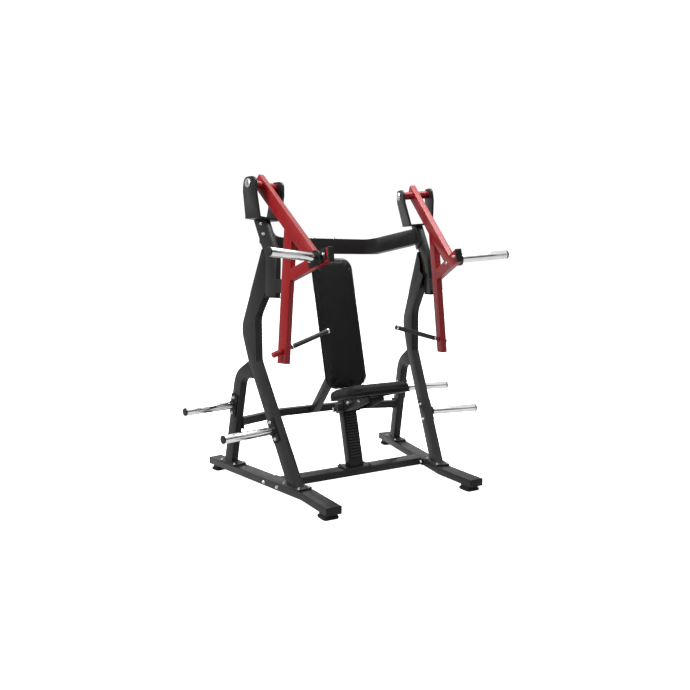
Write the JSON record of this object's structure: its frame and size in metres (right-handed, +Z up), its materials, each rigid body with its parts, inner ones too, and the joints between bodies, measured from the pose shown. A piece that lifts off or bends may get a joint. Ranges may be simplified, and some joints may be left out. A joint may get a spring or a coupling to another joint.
{
  "type": "chest press machine",
  "caption": "Plate-loaded chest press machine with converging press arms, weight horns, storage horns and an adjustable seat.",
  "frame": {"origin": "centre of the bounding box on the floor", "axes": "+Z up, -Y towards the front where the user faces, +X to the right seen from the front"},
  "size_m": [1.9978, 1.3042, 1.8819],
  "materials": {
    "frame_paint": "satin powder coat, near-black grey",
    "arm_paint": "satin powder coat, deep red",
    "black_paint": "satin black paint",
    "chrome_steel": "polished hard chrome",
    "zinc_bolt": "zinc plated",
    "rubber_black": "moulded rubber",
    "grip_rubber": "ribbed rubber sleeve",
    "end_cap_plastic": "moulded plastic",
    "upholstery": "vinyl upholstery over foam"
  },
  "bodies": {
    "frame": {"left_base_rail": "frame_paint", "right_base_rail": "frame_paint", "left_rail_caps": "rubber_black", "right_rail_caps": "rubber_black", "left_front_foot": "rubber_black", "right_front_foot": "rubber_black", "left_rear_foot": "rubber_black", "right_rear_foot": "rubber_black", "floor_crossmember": "frame_paint", "left_upright": "frame_paint", "right_upright": "frame_paint", "left_rear_leg": "frame_paint", "right_rear_leg": "frame_paint", "left_arm_support": "frame_paint", "right_arm_support": "frame_paint", "left_stop_bumper": "rubber_black", "right_stop_bumper": "rubber_black", "left_pivot_bracket": "frame_paint", "right_pivot_bracket": "frame_paint", "left_pivot_shaft": "chrome_steel", "right_pivot_shaft": "chrome_steel", "upper_crossbeam": "frame_paint", "rear_crossmember": "frame_paint", "back_post": "frame_paint", "pad_plates": "frame_paint", "back_pad": "upholstery", "seat_column": "frame_paint", "seat_rack": "black_paint", "left_front_storage_horn": "chrome_steel", "right_front_storage_horn": "chrome_steel", "left_rear_storage_horn": "chrome_steel", "right_rear_storage_horn": "chrome_steel", "left_storage_plates": "black_paint", "right_storage_plates": "black_paint", "left_storage_caps": "end_cap_plastic", "right_storage_caps": "end_cap_plastic", "left_frame_bolts": "zinc_bolt", "right_frame_bolts": "zinc_bolt"},
    "left_arm": {"left_press_arm": "arm_paint", "left_horn_flange": "black_paint", "left_arm_end_cap": "end_cap_plastic", "left_arm_bolts": "zinc_bolt", "left_arm_horn": "chrome_steel", "left_arm_horn_cap": "end_cap_plastic", "left_handle_bar": "arm_paint", "left_hand_grip": "grip_rubber", "left_grip_rings": "chrome_steel"},
    "right_arm": {"right_press_arm": "arm_paint", "right_horn_flange": "black_paint", "right_arm_end_cap": "end_cap_plastic", "right_arm_bolts": "zinc_bolt", "right_arm_horn": "chrome_steel", "right_arm_horn_cap": "end_cap_plastic", "right_handle_bar": "arm_paint", "right_hand_grip": "grip_rubber", "right_grip_rings": "chrome_steel"},
    "seat": {"seat_carriage": "frame_paint", "seat_bracket": "frame_paint", "seat_pad": "upholstery"},
    "pop_pin": {"pop_pin": "chrome_steel"}
  },
  "joints": [
    {"name": "left_arm_press", "type": "hinge", "parent": "frame", "child": "left_arm", "pos_m": [-0.54558, 0.09642, 1.812], "axis": [-0.9672, -0.2385, 0.0872], "range_deg": [0, 55]},
    {"name": "right_arm_press", "type": "hinge", "parent": "frame", "child": "right_arm", "pos_m": [0.54558, 0.09642, 1.812], "axis": [-0.9672, 0.2385, -0.0872], "range_deg": [0, 55]},
    {"name": "seat_slide", "type": "slide", "parent": "frame", "child": "seat", "axis": [0, 0.2588, 0.9659], "range_m": [-0.18, 0.018]},
    {"name": "pin_pull", "type": "slide", "parent": "seat", "child": "pop_pin", "axis": [-1, 0, 0], "range_m": [0, 0.01], "stiffness_N_per_m": 400}
  ]
}
